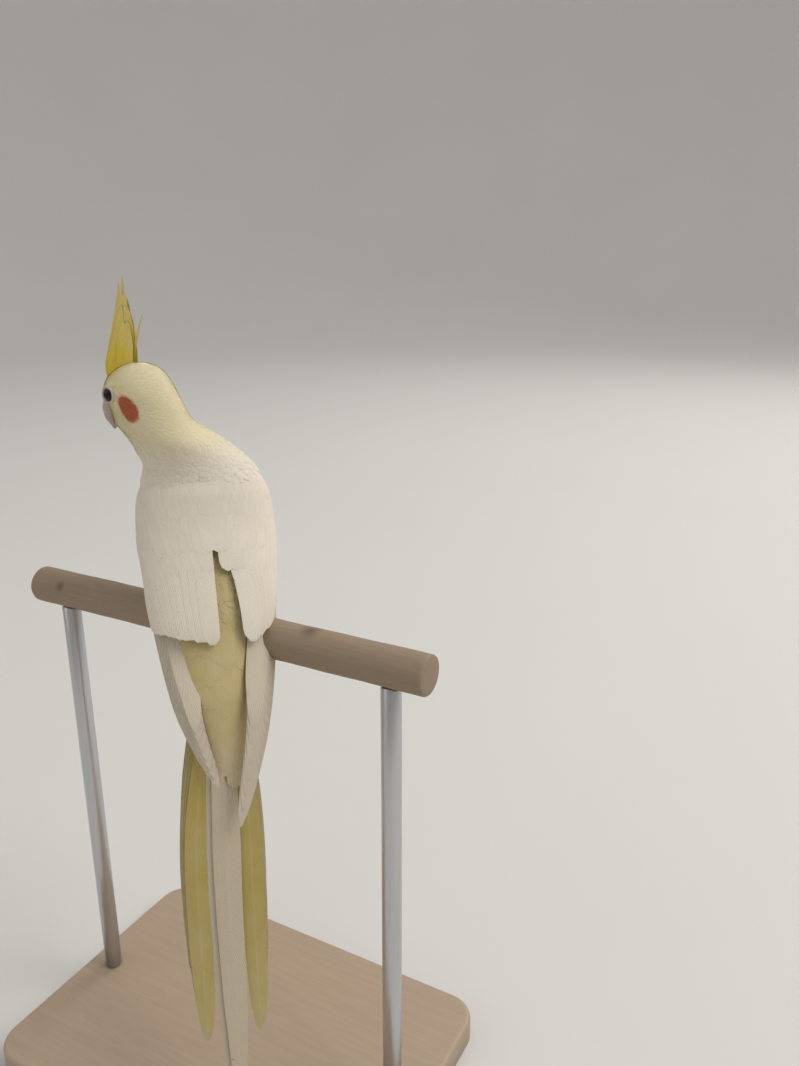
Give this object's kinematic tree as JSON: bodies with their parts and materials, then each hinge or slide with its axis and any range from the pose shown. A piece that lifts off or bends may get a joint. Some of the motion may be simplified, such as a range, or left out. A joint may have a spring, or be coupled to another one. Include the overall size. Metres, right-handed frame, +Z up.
{
  "type": "cockatiel model",
  "caption": "Life-size still model of a perched pale yellow and white cockatiel, seen from behind with its head turned, on a wooden perch and plain stand.",
  "frame": {"origin": "centre of the underside of the display base", "axes": "+Z up, X along the perch, the bird faces +Y turned 44 degrees towards -X"},
  "size_m": [0.196, 0.13, 0.3553],
  "materials": {
    "plumage_white": "soft smooth creamy white feathers",
    "plumage_cream": "soft smooth pale yellow feathers",
    "crest_yellow": "bright yellow crest feathers",
    "tail_yellow": "pale yellow tail feathers, cream in the middle",
    "eye": "wet dark eye",
    "horn": "pale horn bill",
    "foot_skin": "pink scaly skin with horn claws",
    "dowel_wood": "bare light pinkish wood",
    "stand_wood": "satin varnished wood",
    "stand_steel": "brushed steel rods"
  },
  "bodies": {
    "root": {"torso": "plumage_white", "neck": "plumage_cream", "head": "plumage_cream", "eye_left": "eye", "eye_right": "eye", "bill_upper": "horn", "bill_lower": "horn", "crest": "crest_yellow", "wing_left": "plumage_white", "wing_right": "plumage_white", "tail": "tail_yellow", "leg_left": "plumage_cream", "leg_right": "plumage_cream", "foot_left": "foot_skin", "foot_right": "foot_skin", "perch": "dowel_wood", "stand_rod_left": "stand_steel", "stand_rod_right": "stand_steel", "stand_base": "stand_wood"}
  },
  "joints": []
}
